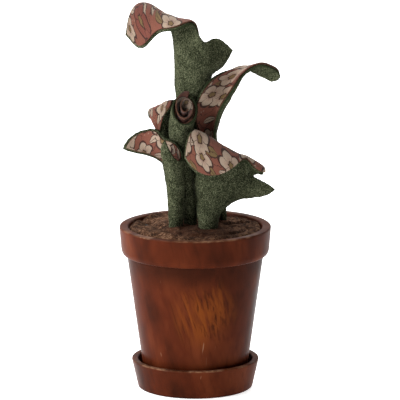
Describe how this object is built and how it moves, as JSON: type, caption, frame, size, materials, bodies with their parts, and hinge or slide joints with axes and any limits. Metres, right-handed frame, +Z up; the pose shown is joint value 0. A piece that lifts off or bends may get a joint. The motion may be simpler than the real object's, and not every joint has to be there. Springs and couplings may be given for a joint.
{
  "type": "potted pitcher plant",
  "caption": "Cloth pitcher plant of felt with printed lining, rooted in cloth soil in a turned wooden pot on a wooden saucer; a standing ornament.",
  "frame": {"origin": "centre of the saucer's flat underside, on the turning axis of the pot and saucer", "axes": "+Z up along the turning axis; -Y is the front, where the wide folded pitcher faces; +X is to the right seen from the front"},
  "size_m": [0.0643, 0.0608, 0.1546],
  "materials": {
    "wood": "turned wood, reddish-brown stain, semi-gloss lacquer, worn edges",
    "felt": "green melange wool felt, matt and fuzzy, dark raw cut edges",
    "print": "plain-weave cotton, terracotta ground with a cream and ochre floral print",
    "soil_cloth": "brown fuzzy wool cloth, matt",
    "filling": "firm dark foam"
  },
  "bodies": {
    "root": {"saucer": "wood", "pot": "wood", "filling": "filling", "soil": "soil_cloth", "pitcher_tall_felt": "felt", "pitcher_tall_lining": "print", "pitcher_right_felt": "felt", "pitcher_right_lining": "print", "pitcher_centre_felt": "felt", "pitcher_centre_lining": "print", "pitcher_back_felt": "felt", "pitcher_back_lining": "print", "pitcher_small_felt": "felt", "pitcher_small_lining": "print", "pitcher_front_felt": "felt", "pitcher_front_lining": "print"}
  },
  "joints": []
}
